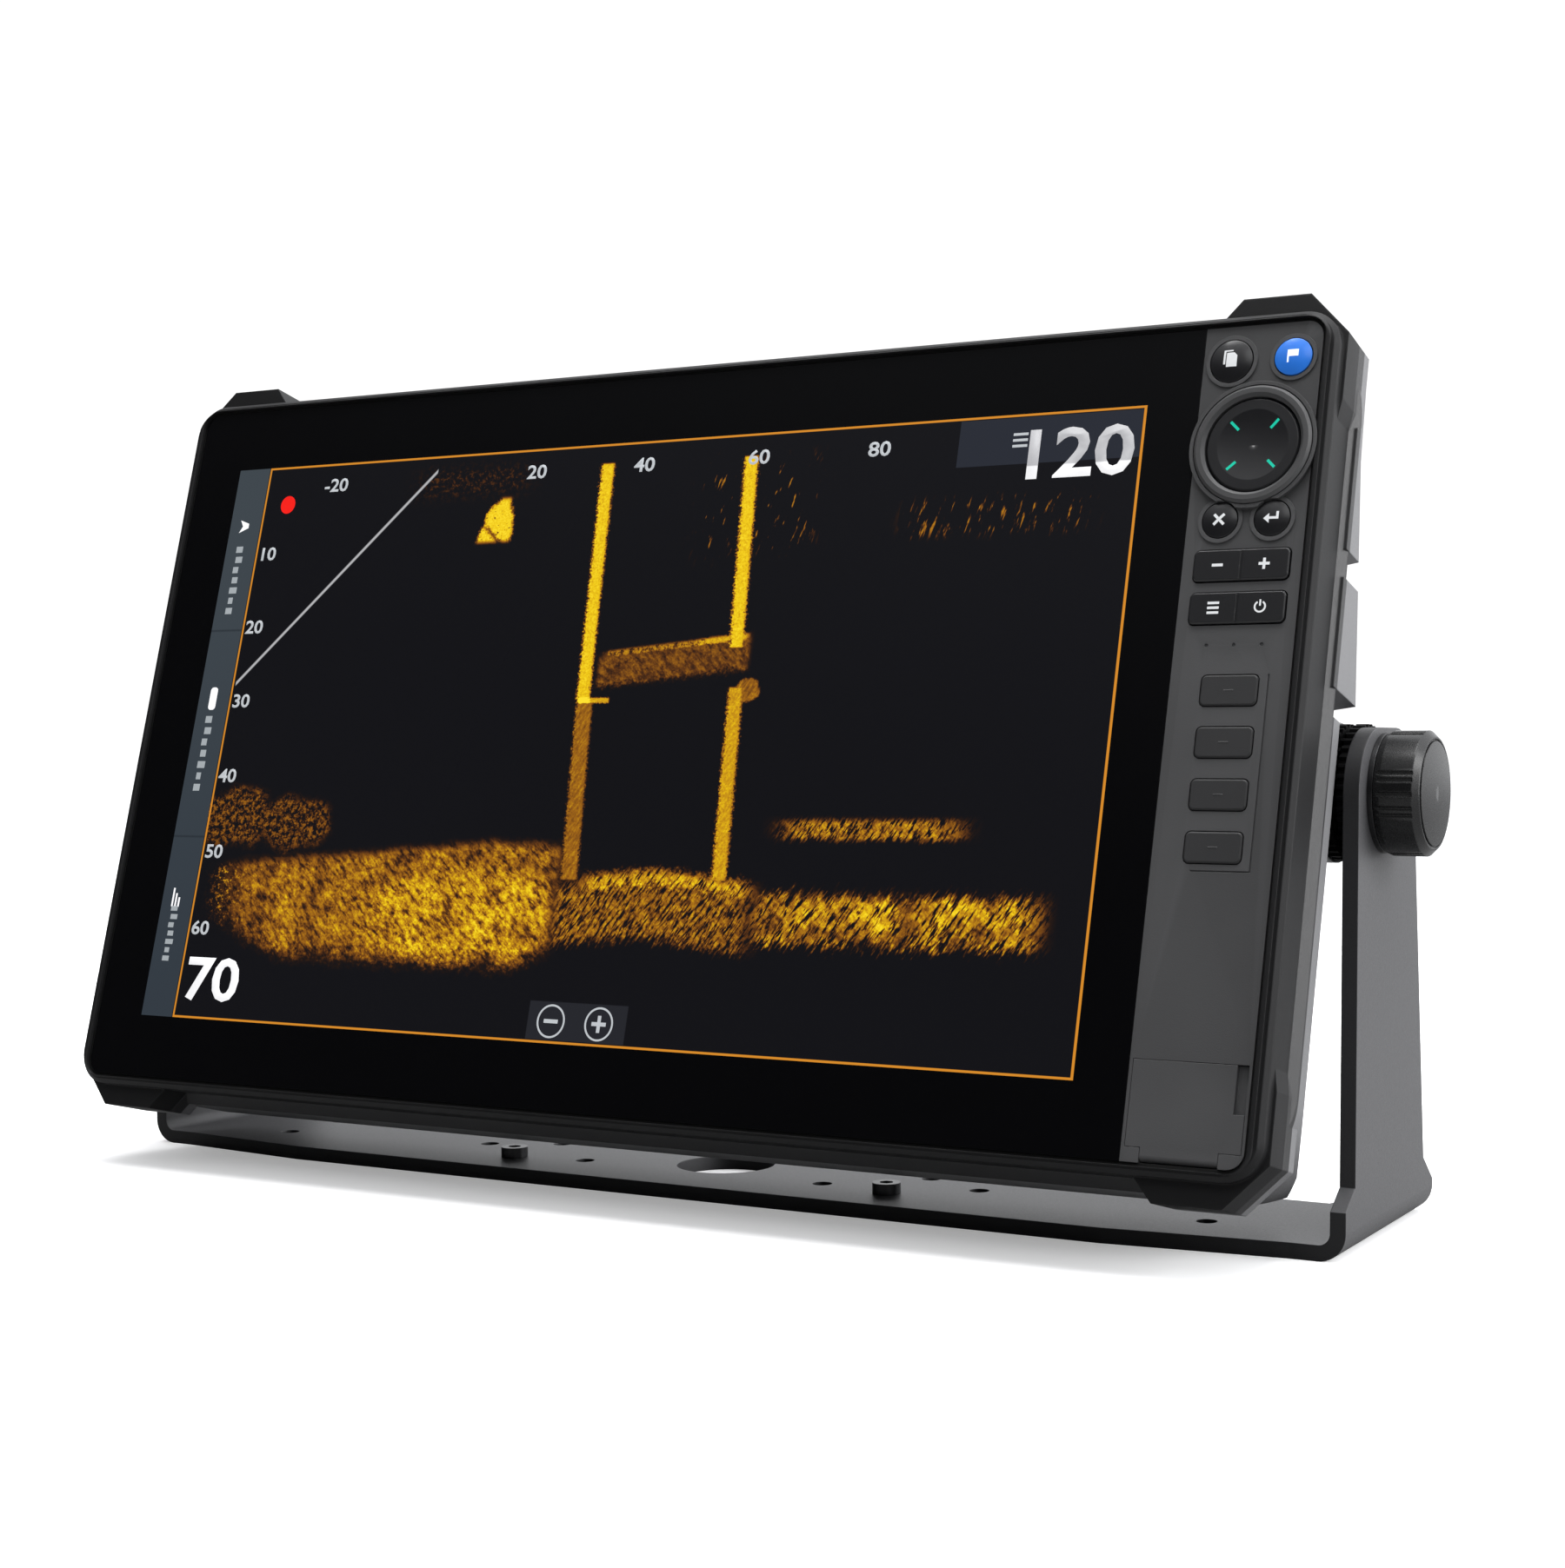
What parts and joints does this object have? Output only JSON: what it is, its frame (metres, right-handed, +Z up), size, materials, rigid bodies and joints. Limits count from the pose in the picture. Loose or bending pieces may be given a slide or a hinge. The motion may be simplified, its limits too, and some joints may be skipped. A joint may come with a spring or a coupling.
{
  "type": "chartplotter display",
  "caption": "Wide marine chartplotter display with a side keypad, tilting on a folded gimbal bracket with clamp knobs.",
  "frame": {"origin": "underside of the bracket base, below the middle of the tilt axis", "axes": "+X to the right of the display as seen by its user, +Y away from the user, +Z up"},
  "size_m": [0.4728, 0.1361, 0.2678],
  "materials": {
    "bracket_paint": "powder coat, matte",
    "frame_plastic": "fine texture",
    "case_metal": "painted die casting",
    "cover_glass": "gloss black glass",
    "fascia_plastic": "satin",
    "key_plastic": "gloss",
    "key_blue": "gloss, lit blue",
    "quick_key_rubber": "satin",
    "knob_plastic": "semi gloss",
    "ratchet_plastic": "matte",
    "seal_rubber": "matte",
    "mat_rubber": "matte",
    "screw_steel": "stainless",
    "black_steel": "blackened",
    "insert_brass": "turned",
    "sheet_aluminium": "plain",
    "circuit_board": "solder mask",
    "chip_plastic": "matte",
    "panel_glass": "lcd cell",
    "light_guide": "white",
    "ribbon_film": "amber film",
    "thermal_silicone": "soft",
    "socket_plastic": "matte"
  },
  "bodies": {
    "bracket": {"gimbal_bracket": "bracket_paint", "base_screws": "black_steel", "arm_bushes": "ratchet_plastic", "arm_ratchets": "ratchet_plastic"},
    "head": {"front_frame": "frame_plastic", "glass_gasket": "seal_rubber", "cover_glass": "cover_glass", "touch_layer": "panel_glass", "lcd_panel": "panel_glass", "backlight_unit": "light_guide", "chassis_plate": "sheet_aluminium", "keypad_fascia": "fascia_plastic", "key_mat": "mat_rubber", "keypad_board": "circuit_board", "card_reader": "sheet_aluminium", "rear_housing": "case_metal", "case_seal": "seal_rubber", "case_screws": "screw_steel", "head_ratchets": "ratchet_plastic", "pivot_inserts": "insert_brass", "main_board": "circuit_board", "board_chips": "chip_plastic", "board_screws": "screw_steel", "heat_spreader": "sheet_aluminium", "thermal_pad": "thermal_silicone", "sonar_board": "circuit_board", "sonar_shield": "sheet_aluminium", "power_board": "circuit_board", "gps_antenna": "mat_rubber", "buzzer": "chip_plastic", "breather_vent": "socket_plastic", "display_ribbon": "ribbon_film", "power_socket": "socket_plastic", "network_sockets": "socket_plastic", "sonar_sockets": "socket_plastic", "ethernet_sockets": "socket_plastic", "video_socket": "socket_plastic", "door_pin": "screw_steel"},
    "left_washer": {"left_washer": "black_steel"},
    "left_knob": {"left_knob": "knob_plastic", "left_knob_screw": "screw_steel"},
    "right_washer": {"right_washer": "black_steel"},
    "right_knob": {"right_knob": "knob_plastic", "right_knob_screw": "screw_steel"},
    "card_door": {"card_door": "fascia_plastic", "door_seal": "seal_rubber"},
    "pages_button": {"pages_button": "key_plastic"},
    "mark_button": {"mark_button": "key_blue"},
    "exit_button": {"exit_button": "key_plastic"},
    "enter_button": {"enter_button": "key_plastic"},
    "dial_ring": {"dial_ring": "fascia_plastic"},
    "pad_plunger": {"pad_plunger": "mat_rubber"},
    "pad_gimbal": {"pad_gimbal": "chip_plastic"},
    "nav_pad": {"nav_pad": "key_plastic"},
    "zoom_rocker": {"zoom_rocker": "key_plastic"},
    "menu_rocker": {"menu_rocker": "key_plastic"},
    "quick_key_1": {"quick_key_1": "quick_key_rubber"},
    "quick_key_2": {"quick_key_2": "quick_key_rubber"},
    "quick_key_3": {"quick_key_3": "quick_key_rubber"},
    "quick_key_4": {"quick_key_4": "quick_key_rubber"}
  },
  "joints": [
    {"name": "head_tilt", "type": "hinge", "parent": "bracket", "child": "head", "pos_m": [0, 0, 0.128], "axis": [-1, 0, 0], "range_deg": [-7, 45]},
    {"name": "left_clamp_back_off", "type": "slide", "parent": "head", "child": "left_washer", "axis": [-1, 0, 0], "range_m": [0, 0.00187]},
    {"name": "left_knob_turn", "type": "hinge", "parent": "left_washer", "child": "left_knob", "pos_m": [0, 0, 0.128], "axis": [-1, 0, 0], "range_deg": [0, 540]},
    {"name": "right_clamp_back_off", "type": "slide", "parent": "head", "child": "right_washer", "axis": [1, 0, 0], "range_m": [0, 0.00187]},
    {"name": "right_knob_turn", "type": "hinge", "parent": "right_washer", "child": "right_knob", "pos_m": [0, 0, 0.128], "axis": [1, 0, 0], "range_deg": [0, 540]},
    {"name": "card_door_swing", "type": "hinge", "parent": "head", "child": "card_door", "pos_m": [0.1899, -0.07323, 0.03281], "axis": [1, 0, 0], "range_deg": [0, 84]},
    {"name": "pages_button_press", "type": "slide", "parent": "head", "child": "pages_button", "axis": [0, 0.9659, -0.2588], "range_m": [0, 0.0007], "stiffness_N_per_m": 300},
    {"name": "mark_button_press", "type": "slide", "parent": "head", "child": "mark_button", "axis": [0, 0.9659, -0.2588], "range_m": [0, 0.0007], "stiffness_N_per_m": 300},
    {"name": "exit_button_press", "type": "slide", "parent": "head", "child": "exit_button", "axis": [0, 0.9659, -0.2588], "range_m": [0, 0.0007], "stiffness_N_per_m": 300},
    {"name": "enter_button_press", "type": "slide", "parent": "head", "child": "enter_button", "axis": [0, 0.9659, -0.2588], "range_m": [0, 0.0007], "stiffness_N_per_m": 300},
    {"name": "quick_key_1_press", "type": "slide", "parent": "head", "child": "quick_key_1", "axis": [0, 0.9659, -0.2588], "range_m": [0, 0.0007], "stiffness_N_per_m": 300},
    {"name": "quick_key_2_press", "type": "slide", "parent": "head", "child": "quick_key_2", "axis": [0, 0.9659, -0.2588], "range_m": [0, 0.0007], "stiffness_N_per_m": 300},
    {"name": "quick_key_3_press", "type": "slide", "parent": "head", "child": "quick_key_3", "axis": [0, 0.9659, -0.2588], "range_m": [0, 0.0007], "stiffness_N_per_m": 300},
    {"name": "quick_key_4_press", "type": "slide", "parent": "head", "child": "quick_key_4", "axis": [0, 0.9659, -0.2588], "range_m": [0, 0.0007], "stiffness_N_per_m": 300},
    {"name": "dial_turn", "type": "hinge", "parent": "head", "child": "dial_ring", "pos_m": [0.19, -0.02368, 0.22431], "axis": [0, -0.9659, 0.2588], "continuous": true},
    {"name": "pad_press", "type": "slide", "parent": "head", "child": "pad_plunger", "axis": [0, 0.9659, -0.2588], "range_m": [0, 0.0005], "stiffness_N_per_m": 400},
    {"name": "pad_rock_up_down", "type": "hinge", "parent": "pad_plunger", "child": "pad_gimbal", "pos_m": [0.19, -0.02098, 0.22359], "axis": [1, 0, 0], "range_deg": [-2.5, 2.5], "stiffness_Nm_per_rad": 0.05},
    {"name": "pad_rock_left_right", "type": "hinge", "parent": "pad_gimbal", "child": "nav_pad", "pos_m": [0.19, -0.02098, 0.22359], "axis": [0, 0.2588, 0.9659], "range_deg": [-2.5, 2.5], "stiffness_Nm_per_rad": 0.05},
    {"name": "zoom_rocker_rock", "type": "hinge", "parent": "head", "child": "zoom_rocker", "pos_m": [0.19, -0.03025, 0.19015], "axis": [0, 0.2588, 0.9659], "range_deg": [-2.5, 2.5], "stiffness_Nm_per_rad": 0.05},
    {"name": "menu_rocker_rock", "type": "hinge", "parent": "head", "child": "menu_rocker", "pos_m": [0.19, -0.03343, 0.17827], "axis": [0, 0.2588, 0.9659], "range_deg": [-2.5, 2.5], "stiffness_Nm_per_rad": 0.05}
  ],
  "couplings": [
    {"joint": "left_clamp_back_off", "follows": "left_knob_turn", "m_per_rad": 0.00019894},
    {"joint": "right_clamp_back_off", "follows": "right_knob_turn", "m_per_rad": 0.00019894}
  ]
}
